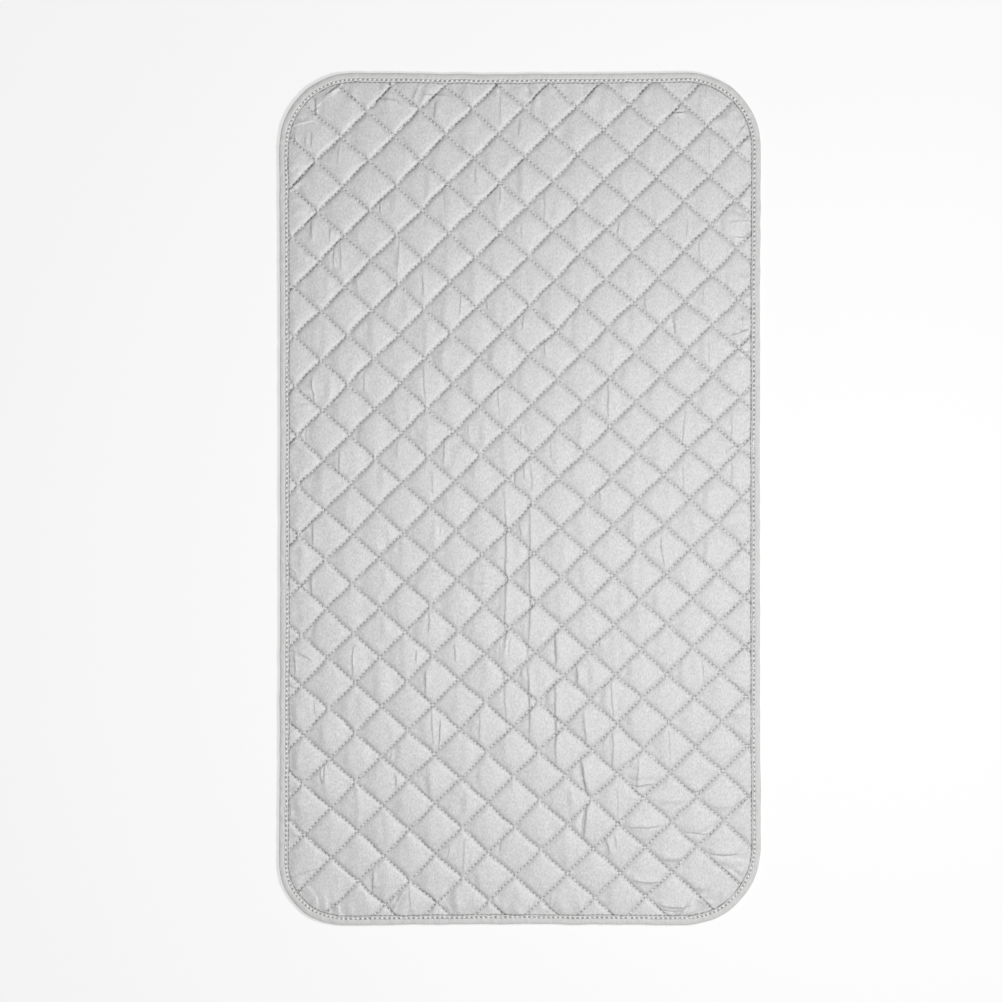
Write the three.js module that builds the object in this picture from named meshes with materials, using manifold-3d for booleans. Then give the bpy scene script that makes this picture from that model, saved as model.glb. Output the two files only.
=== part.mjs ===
// A quilted ironing pad: a coated face cloth, lofted wadding and a backing cloth, held together by two
// families of slanting seams and bound round the edge with folded tape. A flat magnet lies in each corner.
// Millimetres, +Z up. The pad lies flat with its length along Y, and the origin is on the table, under
// its centre.

import * as THREE from 'three';
import { mergeVertices } from 'three/addons/utils/BufferGeometryUtils.js';
import Module from 'manifold-3d';

const wasm = await Module();
wasm.setup();

// Plan of the pad
const PAD_WIDTH = 480;
const PAD_LENGTH = 850;
const CORNER_RADIUS = { topRight: 76, topLeft: 76, bottomLeft: 64, bottomRight: 79 };
const SIDE_DRAW_IN = 1.5; // how far the binding pulls a long side in, half way along it
const END_DRAW_IN = 2.5; // the same for a short end

// Quilting seams: rising ones climb to the right, falling ones drop to the right
const RISING = { name: 'rising', degrees: 45, spacing: 35.8, offset: 12.2 };
const FALLING = { name: 'falling', degrees: -42, spacing: 36.1, offset: 5.1 };
const SHORTEST_SEAM = 110; // a shorter one, across a corner, is left out for the magnet

// Layers
const FACE_THICKNESS = 0.4;
const BACKING_THICKNESS = 0.4;
const WADDING_AT_SEAM = 1; // the wadding where a seam presses it together
const CROWN = 3.8; // how far a quilted cell puffs up above its seams
const WHOLE_CELL_SHARE = 0.99; // of the area between neighbouring seams, to allow for rounding

// Edge binding and sewing thread
const TAPE_THICKNESS = 0.5;
const TAPE_COVER = 8.5; // how far the folded tape reaches in over the pad
const TAPE_FOLD_BEVEL = 0.6;
const THREAD_WIDTH = 1;
const THREAD_THICKNESS = 0.35;
const BINDING_SEAM_SETBACK = 1.8; // from the tape's inner edge

// Corner magnets
const MAGNET_DIAMETER = 18;
const MAGNET_THICKNESS = 1.5;
const MAGNET_CELL_SHARE = 0.85; // of a whole cell, for the smallest one that can hold a magnet

const GAP = 0.3; // between any two pieces

// Facets
const CORNER_STEPS = 8;
const MAGNET_STEPS = 24;

// Heights above the table, from the tape's lower fold up to the tops of the crowns
const backingBottom = TAPE_THICKNESS + GAP;
const backingTop = backingBottom + BACKING_THICKNESS;
const waddingBottom = backingTop + GAP;
const waddingSeam = waddingBottom + WADDING_AT_SEAM;
const faceBottom = waddingSeam + GAP;
const faceSeam = faceBottom + FACE_THICKNESS;
const tapeUpperFold = faceSeam + GAP;
const tapeTop = tapeUpperFold + TAPE_THICKNESS;

// Insets from the pad's edge
const clothEdge = TAPE_THICKNESS + GAP;
const quiltEdge = TAPE_COVER + GAP;

const CORNERS = [
  { name: 'top_right', side: [1, 1], radius: CORNER_RADIUS.topRight, drawIn: END_DRAW_IN },
  { name: 'top_left', side: [-1, 1], radius: CORNER_RADIUS.topLeft, drawIn: SIDE_DRAW_IN },
  { name: 'bottom_left', side: [-1, -1], radius: CORNER_RADIUS.bottomLeft, drawIn: END_DRAW_IN },
  { name: 'bottom_right', side: [1, -1], radius: CORNER_RADIUS.bottomRight, drawIn: SIDE_DRAW_IN },
];

const finish = (color, roughness, metalness = 0) =>
  new THREE.MeshStandardMaterial({ color, roughness, metalness });
const MATERIALS = {
  faceCloth: finish(0xd6d6d6, 0.55, 0.15),
  wadding: finish(0xf3f1ea, 0.95),
  backing: finish(0xdedddb, 0.9),
  tape: finish(0xcbcbcb, 0.6, 0.1),
  thread: finish(0xe6e6e6, 0.7),
  magnet: finish(0x9c9ea0, 0.35, 0.9),
};

// The arc of one corner, anticlockwise, at an inset from the pad's edge.
function cornerArc(corner, index, inset) {
  const centre = new THREE.Vector2(
    corner.side[0] * (PAD_WIDTH / 2 - corner.radius),
    corner.side[1] * (PAD_LENGTH / 2 - corner.radius),
  );
  const points = [];
  for (let i = 0; i <= CORNER_STEPS; i++) {
    const turn = (index + i / CORNER_STEPS) * (Math.PI / 2);
    const spoke = new THREE.Vector2(Math.cos(turn), Math.sin(turn));
    points.push(spoke.multiplyScalar(corner.radius - inset).add(centre));
  }
  return points;
}

// The pad's outline, anticlockwise, at an inset from its edge: round corners, and sides drawn in between
// them. Every inset has the same number of points, in the same order.
function outline(inset) {
  const arcs = CORNERS.map((corner, index) => cornerArc(corner, index, inset));
  return arcs.flatMap((arc, index) => {
    const from = arc.at(-1);
    const to = arcs[(index + 1) % arcs.length][0];
    const inward = new THREE.Vector2(from.y - to.y, to.x - from.x).normalize();
    const middle = from.clone().lerp(to, 0.5).addScaledVector(inward, CORNERS[index].drawIn);
    return [...arc, middle];
  });
}

// A flat sheet of the pad's outline between two heights.
function plate(inset, bottom, top) {
  const shape = new THREE.Shape(outline(inset));
  const settings = { depth: top - bottom, bevelEnabled: false };
  return new THREE.ExtrudeGeometry(shape, settings).translate(0, 0, bottom);
}

// A closed section of [inset, height] points, taken right round the pad's edge.
function sweptRound(section) {
  const loops = section.map(([inset, height]) =>
    outline(inset).map((p) => new THREE.Vector3(p.x, p.y, height)),
  );
  const count = loops[0].length;
  const index = [];
  for (let s = 0; s < loops.length; s++) {
    const next = (s + 1) % loops.length;
    for (let i = 0; i < count; i++) {
      const j = (i + 1) % count;
      index.push(s * count + i, s * count + j, next * count + j);
      index.push(s * count + i, next * count + j, next * count + i);
    }
  }
  return new THREE.BufferGeometry().setFromPoints(loops.flat()).setIndex(index);
}

// Solids for cutting and joining
function solidOf(geometry) {
  const bare = geometry.clone();
  bare.deleteAttribute('normal');
  bare.deleteAttribute('uv');
  const merged = mergeVertices(bare);
  const vertProperties = new Float32Array(merged.attributes.position.array);
  const triVerts = new Uint32Array(merged.index.array);
  return new wasm.Manifold(new wasm.Mesh({ numProp: 3, vertProperties, triVerts }));
}

function geometryOf(solid) {
  const { vertProperties, triVerts } = solid.getMesh();
  const geometry = new THREE.BufferGeometry();
  geometry.setAttribute('position', new THREE.BufferAttribute(vertProperties, 3));
  geometry.setIndex(new THREE.BufferAttribute(triVerts, 1));
  return geometry;
}

// How far a point lies to the left of a seam's line; positive on its left.
function leftOf(seam, point) {
  return (point.x - seam.foot.x) * -seam.along.y + (point.y - seam.foot.y) * seam.along.x;
}

// Where a seam's line cuts the edge from one point to another, rounded so that neighbours agree.
function crossing(seam, from, to) {
  const a = leftOf(seam, from);
  const b = leftOf(seam, to);
  const point = from.clone().lerp(to, a / (a - b));
  const micron = (value) => Math.round(value * 1000) / 1000;
  return point.set(micron(point.x), micron(point.y));
}

// The two pieces of a polygon on either side of a seam, or the polygon itself if the seam misses it.
function split(polygon, seam) {
  const left = [];
  const right = [];
  polygon.forEach((point, i) => {
    const next = polygon[(i + 1) % polygon.length];
    const here = leftOf(seam, point);
    (here > 0 ? left : right).push(point);
    if (here > 0 !== leftOf(seam, next) > 0) {
      const cut = crossing(seam, point, next);
      left.push(cut);
      right.push(cut);
    }
  });
  return left.length && right.length ? [left, right] : [polygon];
}

// The seams of one family that are sewn, each with its line and its two ends at the binding.
function seamsOf(family, polygon) {
  const turn = THREE.MathUtils.degToRad(family.degrees);
  const along = new THREE.Vector2(Math.cos(turn), Math.sin(turn));
  const across = new THREE.Vector2(Math.abs(along.y), -Math.sign(along.y) * along.x);
  const reach = Math.ceil((PAD_WIDTH + PAD_LENGTH) / 2 / family.spacing);
  const seams = [];
  for (let n = -reach; n <= reach; n++) {
    const foot = across.clone().multiplyScalar(family.offset + n * family.spacing);
    const seam = { along, foot, turn };
    const ends = polygon.flatMap((point, i) => {
      const next = polygon[(i + 1) % polygon.length];
      const cut = leftOf(seam, point) > 0 !== leftOf(seam, next) > 0;
      return cut ? [crossing(seam, point, next)] : [];
    });
    if (ends.length === 2 && ends[0].distanceTo(ends[1]) >= SHORTEST_SEAM) seams.push({ ...seam, ends });
  }
  return seams;
}

const quiltOutline = outline(quiltEdge);
const risingSeams = seamsOf(RISING, quiltOutline);
const fallingSeams = seamsOf(FALLING, quiltOutline);

const turnBetween = THREE.MathUtils.degToRad(RISING.degrees - FALLING.degrees);
const wholeCell = (RISING.spacing * FALLING.spacing) / Math.sin(turnBetween);
const cells = [...risingSeams, ...fallingSeams].reduce(
  (pieces, seam) => pieces.flatMap((piece) => split(piece, seam)),
  [quiltOutline],
);
const cellsOver = (share) => cells.filter((cell) => THREE.ShapeUtils.area(cell) > share * wholeCell);

// The centre of a cell's area.
function centreOf(cell) {
  const centre = new THREE.Vector2();
  cell.forEach((point, i) => {
    const next = cell[(i + 1) % cell.length];
    centre.addScaledVector(point.clone().add(next), point.cross(next));
  });
  return centre.divideScalar(6 * THREE.ShapeUtils.area(cell));
}

// The cell nearest to a corner of the pad that has room for the corner's magnet.
function magnetCell(corner) {
  const tip = new THREE.Vector2((corner.side[0] * PAD_WIDTH) / 2, (corner.side[1] * PAD_LENGTH) / 2);
  const distance = (cell) => centreOf(cell).distanceTo(tip);
  const nearer = (a, b) => (distance(a) < distance(b) ? a : b);
  return cellsOver(MAGNET_CELL_SHARE).reduce(nearer);
}

// Whole cells puff up, and so do the magnets' own. The binding holds smaller ones at the edge flat.
const magnetCells = CORNERS.map(magnetCell);
const magnetPlaces = magnetCells.map(centreOf);
const puffedCells = [...new Set([...cellsOver(WHOLE_CELL_SHARE), ...magnetCells])];

// The puff of one cell: a low peak over its outline, on a foot that sinks into the sheet below.
function puff(cell, seamHeight, foot) {
  const centre = centreOf(cell);
  const count = cell.length;
  const ring = (height) => cell.map((p) => new THREE.Vector3(p.x, p.y, height));
  const points = [...ring(seamHeight - foot), ...ring(seamHeight)];
  const base = points.push(new THREE.Vector3(centre.x, centre.y, seamHeight - foot)) - 1;
  const peak = points.push(new THREE.Vector3(centre.x, centre.y, seamHeight + CROWN)) - 1;
  const index = [];
  for (let i = 0; i < count; i++) {
    const j = (i + 1) % count;
    index.push(base, j, i);
    index.push(i, j, count + j, i, count + j, count + i);
    index.push(count + i, count + j, peak);
  }
  return solidOf(new THREE.BufferGeometry().setFromPoints(points).setIndex(index));
}

const puffs = (seamHeight, foot) => puffedCells.map((cell) => puff(cell, seamHeight, foot));

// Cloth and wadding
function faceCloth() {
  const sheet = solidOf(plate(clothEdge, faceBottom, faceSeam));
  const outside = wasm.Manifold.union([sheet, ...puffs(faceSeam, FACE_THICKNESS / 2)]);
  const inside = wasm.Manifold.union(puffs(faceBottom, FACE_THICKNESS / 2));
  return geometryOf(outside.subtract(inside));
}

function wadding() {
  const sheet = solidOf(plate(clothEdge, waddingBottom, waddingSeam));
  const lofted = wasm.Manifold.union([sheet, ...puffs(waddingSeam, WADDING_AT_SEAM / 2)]);
  const pocketDepth = MAGNET_THICKNESS + 2 * GAP;
  const pockets = magnetPlaces.map((place) =>
    solidOf(disc(MAGNET_DIAMETER / 2 + GAP, pocketDepth, place, waddingBottom - GAP)),
  );
  return geometryOf(pockets.reduce((left, pocket) => left.subtract(pocket), lofted));
}

// Corner magnets
function disc(radius, thickness, place, bottom) {
  const geometry = new THREE.CylinderGeometry(radius, radius, thickness, MAGNET_STEPS);
  return geometry.rotateX(Math.PI / 2).translate(place.x, place.y, bottom + thickness / 2);
}

// Edge binding: tape folded over the edge, as thick across its bevelled folds as elsewhere
function edgeBinding() {
  const innerBevel = TAPE_FOLD_BEVEL - (2 - Math.SQRT2) * TAPE_THICKNESS;
  return sweptRound([
    [TAPE_COVER, 0],
    [TAPE_FOLD_BEVEL, 0],
    [0, TAPE_FOLD_BEVEL],
    [0, tapeTop - TAPE_FOLD_BEVEL],
    [TAPE_FOLD_BEVEL, tapeTop],
    [TAPE_COVER, tapeTop],
    [TAPE_COVER, tapeUpperFold],
    [TAPE_THICKNESS + innerBevel, tapeUpperFold],
    [TAPE_THICKNESS, tapeUpperFold - innerBevel],
    [TAPE_THICKNESS, TAPE_THICKNESS + innerBevel],
    [TAPE_THICKNESS + innerBevel, TAPE_THICKNESS],
    [TAPE_COVER, TAPE_THICKNESS],
  ]);
}

// Sewing thread
function bindingSeam() {
  const inner = TAPE_COVER - BINDING_SEAM_SETBACK;
  const outer = inner - THREAD_WIDTH;
  const bottom = tapeTop + GAP;
  const top = bottom + THREAD_THICKNESS;
  return sweptRound([
    [inner, bottom],
    [outer, bottom],
    [outer, top],
    [inner, top],
  ]);
}

// One quilting seam's needle thread, lying in its channel. The falling seams are sewn second, so
// theirs pass over the rising ones.
function quiltingThread(seam, bottom) {
  const [start, end] = seam.ends;
  const length = start.distanceTo(end) - 2 * THREAD_WIDTH;
  const strip = new THREE.BoxGeometry(length, THREAD_WIDTH, THREAD_THICKNESS);
  const middle = start.clone().lerp(end, 0.5);
  return strip.rotateZ(seam.turn).translate(middle.x, middle.y, bottom + THREAD_THICKNESS / 2);
}

const pad = new THREE.Group();

function addPiece(name, geometry, material) {
  const mesh = new THREE.Mesh(geometry, material);
  mesh.name = name;
  pad.add(mesh);
}

addPiece('face_cloth', faceCloth(), MATERIALS.faceCloth);
addPiece('wadding', wadding(), MATERIALS.wadding);
addPiece('backing_cloth', plate(clothEdge, backingBottom, backingTop), MATERIALS.backing);
addPiece('edge_binding', edgeBinding(), MATERIALS.tape);
addPiece('binding_seam_thread', bindingSeam(), MATERIALS.thread);

CORNERS.forEach((corner, i) => {
  const magnet = disc(MAGNET_DIAMETER / 2, MAGNET_THICKNESS, magnetPlaces[i], waddingBottom);
  addPiece(`corner_magnet_${corner.name}`, magnet, MATERIALS.magnet);
});

const risingThreadBottom = faceSeam + GAP;
const fallingThreadBottom = risingThreadBottom + THREAD_THICKNESS + GAP;

function addQuiltingThreads(family, seams, bottom) {
  seams.forEach((seam, i) => {
    const number = String(i + 1).padStart(2, '0');
    addPiece(`quilting_thread_${family.name}_${number}`, quiltingThread(seam, bottom), MATERIALS.thread);
  });
}

addQuiltingThreads(RISING, risingSeams, risingThreadBottom);
addQuiltingThreads(FALLING, fallingSeams, fallingThreadBottom);

export default pad;
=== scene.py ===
# %% [markdown]
# # A quilted ironing pad
# The real pad is soft work in layers: a silver-coated cotton face, lofted wadding, a plain backing
# cloth, quilting seams that cross in two directions, and a tape folded over the edge all the way round.
# The CAD model is the frame. Its seam nodes say where the stitches run and its box says how big the pad
# is, so nothing here can drift away from it. Lengths are in metres, with MM for the small ones.

# %% Load the frame
import math
import random

import bmesh
import bpy
import numpy as np
from mathutils import Matrix, Vector, noise
from mathutils.bvhtree import BVHTree


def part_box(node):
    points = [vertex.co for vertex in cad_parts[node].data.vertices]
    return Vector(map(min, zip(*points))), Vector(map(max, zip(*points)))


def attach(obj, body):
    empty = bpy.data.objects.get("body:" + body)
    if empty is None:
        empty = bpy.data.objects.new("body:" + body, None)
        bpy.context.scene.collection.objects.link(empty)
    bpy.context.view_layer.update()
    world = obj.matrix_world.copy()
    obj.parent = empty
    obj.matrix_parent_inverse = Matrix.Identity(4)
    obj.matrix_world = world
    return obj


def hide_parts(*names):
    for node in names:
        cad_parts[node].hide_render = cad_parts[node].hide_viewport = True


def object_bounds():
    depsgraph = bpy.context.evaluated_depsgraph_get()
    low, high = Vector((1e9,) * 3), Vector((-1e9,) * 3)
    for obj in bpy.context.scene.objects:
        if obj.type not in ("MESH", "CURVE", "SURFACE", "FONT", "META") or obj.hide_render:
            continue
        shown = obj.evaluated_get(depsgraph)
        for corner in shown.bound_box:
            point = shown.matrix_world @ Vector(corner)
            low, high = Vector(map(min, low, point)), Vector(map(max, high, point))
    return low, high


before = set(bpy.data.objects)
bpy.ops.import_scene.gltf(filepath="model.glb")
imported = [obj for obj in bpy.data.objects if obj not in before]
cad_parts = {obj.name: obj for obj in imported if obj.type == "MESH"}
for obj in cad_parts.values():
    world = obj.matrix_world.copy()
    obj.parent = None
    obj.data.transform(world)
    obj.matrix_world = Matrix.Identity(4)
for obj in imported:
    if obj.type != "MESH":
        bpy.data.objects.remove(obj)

MM = 0.001
cad_low, cad_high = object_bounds()
print("CAD box in mm:", [round(c / MM, 1) for c in (*cad_low, *cad_high)])

# %% [markdown]
# ## Camera, floor and light
# The photograph looks straight down, so the camera needs no turn: a Blender camera looks along -Z with
# +Y up. Its height follows from how wide the pad is in the picture. A long lens keeps the sides of the
# pad from leaning. In the upper half the rising seams are dark and in the lower half the falling ones, so
# the main lamp hangs off the middle of the right-hand side, not quite a metre up. The world fills the
# shadows. The photograph is a cut-out without a shadow, so the floor glows, as a light table does.

# %% Camera
PHOTO_PIXELS = 1002
PAD_PIXELS = 482
PAD_CENTRE_PIXEL = (520, 499)
PIXEL = (cad_high.x - cad_low.x) / PAD_PIXELS

scene = bpy.context.scene
lens = bpy.data.cameras.new("photo_camera")
lens.lens = 85
lens.sensor_width = 36
camera = bpy.data.objects.new("photo_camera", lens)
camera.location = (
    (PHOTO_PIXELS / 2 - PAD_CENTRE_PIXEL[0]) * PIXEL,
    (PAD_CENTRE_PIXEL[1] - PHOTO_PIXELS / 2) * PIXEL,
    PHOTO_PIXELS * PIXEL * lens.lens / lens.sensor_width,
)
scene.collection.objects.link(camera)
scene.camera = camera
scene.view_settings.view_transform = "Standard"
print("camera at", [round(c, 3) for c in camera.location])

# %% Floor and light
FLOOR_SIZE = 60
FLOOR_HEIGHT = -0.5 * MM
LAMP_PLACE = Vector((0.38, -0.1, 0.84))
LAMP_STRENGTH = 30.6
FILL_STRENGTH = 0.33
FLOOR_GLOW = 0.6

floor_bm = bmesh.new()
bmesh.ops.create_grid(floor_bm, x_segments=1, y_segments=1, size=FLOOR_SIZE / 2)
bmesh.ops.translate(floor_bm, verts=floor_bm.verts, vec=(0, 0, FLOOR_HEIGHT))
floor_mesh = bpy.data.meshes.new("floor")
floor_bm.to_mesh(floor_mesh)
floor_bm.free()
floor_finish = bpy.data.materials.new("pale_floor")
floor_finish.use_nodes = True
floor_shader = floor_finish.node_tree.nodes["Principled BSDF"]
floor_shader.inputs["Base Color"].default_value = (0.35, 0.35, 0.35, 1)
floor_shader.inputs["Roughness"].default_value = 0.8
floor_shader.inputs["Emission Color"].default_value = (1, 1, 1, 1)
floor_shader.inputs["Emission Strength"].default_value = FLOOR_GLOW
floor_mesh.materials.append(floor_finish)
floor = bpy.data.objects.new("floor", floor_mesh)
scene.collection.objects.link(floor)

lamp_data = bpy.data.lights.new("soft_lamp", "POINT")
lamp_data.shadow_soft_size = 0.12
lamp_data.use_nodes = True
lamp_nodes = lamp_data.node_tree.nodes
# Constant falloff: the light doesn't weaken on its way to the far corners.
even = lamp_nodes.new("ShaderNodeLightFalloff")
even.inputs["Strength"].default_value = LAMP_STRENGTH
lamp_data.node_tree.links.new(even.outputs["Constant"], lamp_nodes["Emission"].inputs["Strength"])
lamp_data.energy = 1
lamp = bpy.data.objects.new("soft_lamp", lamp_data)
lamp.location = LAMP_PLACE
scene.collection.objects.link(lamp)

world = bpy.data.worlds.new("studio")
world.use_nodes = True
world.node_tree.nodes["Background"].inputs["Color"].default_value = (1, 1, 1, 1)
world.node_tree.nodes["Background"].inputs["Strength"].default_value = FILL_STRENGTH
scene.world = world
print("lamp at", [round(c, 2) for c in lamp.location])

# %% [markdown]
# ## The pad's outline
# Every layer follows one rounded outline, and the four corners of the real pad are not alike. Two small
# functions say how far a point is inside the outline and which way is out. A third one gives the pad
# its sewn look: the stitching draws the sides in a little and shifts the cloth about, so no seam on the
# real pad is quite straight. All soft pieces go through it, so they stay together.

# %% Outline functions
HALF_WIDTH = cad_high.x
HALF_LENGTH = cad_high.y
# Keyed by whether the corner is on the right and whether it is at the top.
CORNER_RADIUS = {
    (True, True): 76 * MM,
    (False, True): 76 * MM,
    (False, False): 64 * MM,
    (True, False): 79 * MM,
}
SIDE_DRAW_IN = 1.5 * MM
END_DRAW_IN = 2.5 * MM
TAPE_COVER = 8.5 * MM  # how far the tape reaches in from the edge
TAPE_FREEDOM = 0.3  # the share of its freedom to shift that the tape leaves the cloth
FREE_INSIDE = 14 * MM  # this far past the tape, the cloth has all of it
# The cloth shifts in slow waves and in quick ones: how far apart they are, and how far they shift it.
SLOW_WAVE = 42 * MM
SLOW_SHIFT = 1.6 * MM
QUICK_WAVE = 16 * MM
QUICK_SHIFT = 1.1 * MM
noise.seed_set(7)  # without a seed, noise_vector differs from run to run


def past_corner_centre(x, y):
    """The corner's radius, and how far a point is past that corner's centre in x and in y."""
    radius = CORNER_RADIUS[(x > 0, y > 0)]
    return radius, abs(x) - HALF_WIDTH + radius, abs(y) - HALF_LENGTH + radius


def inset(x, y):
    """How far a point of the flat pad is inside the outline."""
    radius, past_x, past_y = past_corner_centre(x, y)
    round_part = math.hypot(max(past_x, 0), max(past_y, 0))
    return radius - round_part - min(max(past_x, past_y), 0)


def outward(x, y):
    """The direction from a point of the flat pad to the nearest part of the outline."""
    _, past_x, past_y = past_corner_centre(x, y)
    if past_x > 0 and past_y > 0:
        way = Vector((math.copysign(past_x, x), math.copysign(past_y, y)))
    elif past_x > past_y:
        way = Vector((x, 0))
    else:
        way = Vector((0, y))
    return way.normalized()


def settled(x, y):
    """Where a point of the flat pad lies after sewing."""
    across = x / HALF_WIDTH
    along = y / HALF_LENGTH
    inner = min(1, max(0, inset(x, y) - TAPE_COVER) / FREE_INSIDE)
    freedom = TAPE_FREEDOM + (1 - TAPE_FREEDOM) * inner
    # The third coordinate only picks another slice of the noise.
    slow = noise.noise_vector(Vector((x, y, 0.011)) / SLOW_WAVE) * SLOW_SHIFT
    quick = noise.noise_vector(Vector((x, y, 0.037)) / QUICK_WAVE) * QUICK_SHIFT
    shift = (slow + quick) * freedom
    return Vector((
        x - SIDE_DRAW_IN * across * (1 - along * along) + shift.x,
        y - END_DRAW_IN * along * (1 - across * across) + shift.y,
    ))


print("inset of the centre in mm:", round(inset(0, 0) / MM, 1))

# %% The path round the edge
JOIN_X = 109 * MM  # where the two ends of the tape meet, on the lower side


def edge_path(step):
    """Points round the outline from the join, anticlockwise: each with its outward way and turn."""
    path = []

    def straight(start, end):
        count = max(1, round((end - start).length / step))
        way = (end - start).normalized()
        for i in range(count):
            path.append((start.lerp(end, i / count), Vector((way.y, -way.x)), 0.0))

    at = join = Vector((JOIN_X, -HALF_LENGTH))
    for right, top, first in ((1, -1, -90), (1, 1, 0), (-1, 1, 90), (-1, -1, 180)):
        radius = CORNER_RADIUS[(right > 0, top > 0)]
        centre = Vector((right * (HALF_WIDTH - radius), top * (HALF_LENGTH - radius)))
        angles = (math.radians(first), math.radians(first + 90))
        spokes = [Vector((math.cos(angle), math.sin(angle))) for angle in angles]
        straight(at, centre + spokes[0] * radius)
        count = round(radius * math.pi / 2 / step)
        for i in range(count):
            turn = i / count * math.pi / 2
            spoke = spokes[0] * math.cos(turn) + spokes[1] * math.sin(turn)
            path.append((centre + spoke * radius, spoke, math.sin(2 * turn)))
        at = centre + spokes[1] * radius
    straight(at, join)
    return path


print("places round the edge, 10 mm apart:", len(edge_path(10 * MM)))

# %% [markdown]
# ## Finishes
# All cloths share one way of working: threads crossing in two directions make a fine height pattern,
# and a stretched noise makes some threads thicker and lighter than others, as in real yarn. Only the
# colour, the size of the weave and the gloss differ. The patterns read Object coordinates, so they keep
# their size on every piece.

# %% Cloth materials
WAVE_PERIOD = 2 * math.pi / 20  # the length of one band of a Wave texture of scale 1


def woven(name, light, dark, roughness, thread, bump, metallic=0.0, sheen=0.0, slub=(900, 140, 400)):
    """A cloth material: crossing threads of that width, with uneven yarn between two colours.

    slub is how many uneven places there are to a metre in X, Y and Z."""
    material = bpy.data.materials.new(name)
    material.use_nodes = True
    nodes = material.node_tree.nodes
    join = material.node_tree.links.new
    shader = nodes["Principled BSDF"]
    shader.inputs["Roughness"].default_value = roughness
    shader.inputs["Metallic"].default_value = metallic
    shader.inputs["Sheen Weight"].default_value = sheen
    shader.inputs["Sheen Roughness"].default_value = 0.4
    place = nodes.new("ShaderNodeTexCoord").outputs["Object"]

    weave = None
    for direction in "XY":
        yarn = nodes.new("ShaderNodeTexWave")
        yarn.bands_direction = direction
        yarn.inputs["Scale"].default_value = WAVE_PERIOD / (2 * thread)
        yarn.inputs["Distortion"].default_value = 1.2
        yarn.inputs["Detail"].default_value = 1
        join(place, yarn.inputs["Vector"])
        if weave is None:
            weave = yarn.outputs["Fac"]
            continue
        cross = nodes.new("ShaderNodeMath")
        cross.operation = "MULTIPLY"
        join(weave, cross.inputs[0])
        join(yarn.outputs["Fac"], cross.inputs[1])
        weave = cross.outputs["Value"]

    stretch = nodes.new("ShaderNodeMapping")
    stretch.inputs["Scale"].default_value = slub
    join(place, stretch.inputs["Vector"])
    unevenness = nodes.new("ShaderNodeTexNoise")
    unevenness.inputs["Scale"].default_value = 1
    unevenness.inputs["Detail"].default_value = 3
    join(stretch.outputs["Vector"], unevenness.inputs["Vector"])

    shade = nodes.new("ShaderNodeValToRGB")
    shade.color_ramp.elements[0].position = 0.3
    shade.color_ramp.elements[0].color = (*dark, 1)
    shade.color_ramp.elements[1].position = 0.7
    shade.color_ramp.elements[1].color = (*light, 1)
    join(unevenness.outputs["Fac"], shade.inputs["Fac"])
    join(shade.outputs["Color"], shader.inputs["Base Color"])

    height = nodes.new("ShaderNodeMath")
    height.operation = "ADD"
    join(weave, height.inputs[0])
    join(unevenness.outputs["Fac"], height.inputs[1])
    relief = nodes.new("ShaderNodeBump")
    relief.inputs["Strength"].default_value = bump
    relief.inputs["Distance"].default_value = thread * 0.5
    join(height.outputs["Value"], relief.inputs["Height"])
    join(relief.outputs["Normal"], shader.inputs["Normal"])
    return material


face_finish = woven(
    "silver_coated_cotton", (0.74, 0.74, 0.74), (0.55, 0.55, 0.55), 0.62, 0.45 * MM, 0.35,
    metallic=0.05, sheen=0.1, slub=(760, 400, 760),
)
tape_finish = woven(
    "woven_tape", (0.68, 0.675, 0.67), (0.57, 0.57, 0.565), 0.7, 0.5 * MM, 0.5, sheen=0.2,
)
backing_finish = woven(
    "plain_backing", (0.6, 0.6, 0.59), (0.5, 0.5, 0.49), 0.8, 0.6 * MM, 0.6, sheen=0.15,
)
thread_finish = woven(
    "twisted_thread", (0.82, 0.82, 0.82), (0.7, 0.7, 0.7), 0.45, 0.25 * MM, 0.5, sheen=0.25,
)
wadding_finish = woven(
    "lofted_fibre", (0.82, 0.82, 0.8), (0.7, 0.7, 0.68), 0.95, 1.2 * MM, 0.8, sheen=0.3,
    slub=(300, 300, 300),
)
cloths = (face_finish, tape_finish, backing_finish, thread_finish, wadding_finish)
print("cloth finishes:", *(finish.name for finish in cloths))

# %% [markdown]
# ## The seam pattern
# One family of quilting seams climbs to the right at 45 degrees, and the other drops at 42. A net of
# squares laid along both directions has an edge on every seam, which a net along X and Y would not
# have, so the stitching can press a crisp line into the cloth. The rows come from the CAD seam nodes.
# Each row is one number: its distance from the pad's centre, measured across the seam.

# %% Rows of seams
RISING = math.radians(45)
FALLING = math.radians(42)
TURN = math.sin(RISING + FALLING)  # what solving for a point divides by


def across_seams(x, y):
    """A point's distance across the rising seams and across the falling ones."""
    return (
        x * math.sin(RISING) - y * math.cos(RISING),
        x * math.sin(FALLING) + y * math.cos(FALLING),
    )


def point_at(rising, falling):
    """The point at these two distances: the inverse of across_seams."""
    return (
        (math.cos(FALLING) * rising + math.cos(RISING) * falling) / TURN,
        (math.sin(RISING) * falling - math.sin(FALLING) * rising) / TURN,
    )


def seam_nodes(family):
    """The CAD nodes of one family of seams, in order."""
    return sorted(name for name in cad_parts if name.startswith("quilting_thread_" + family))


def seam_rows(family, which):
    """The distance of each seam of a family from the pad's centre."""
    rows = []
    for name in seam_nodes(family):
        low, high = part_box(name)
        rows.append(across_seams(*((low + high) / 2).xy)[which])
    return sorted(rows)


rising_rows = seam_rows("rising", 0)
falling_rows = seam_rows("falling", 1)
rising_step = (rising_rows[-1] - rising_rows[0]) / (len(rising_rows) - 1)
falling_step = (falling_rows[-1] - falling_rows[0]) / (len(falling_rows) - 1)
print("seams:", len(rising_rows), "rising,", len(falling_rows), "falling;",
      "apart", round(rising_step / MM, 2), round(falling_step / MM, 2))

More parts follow.
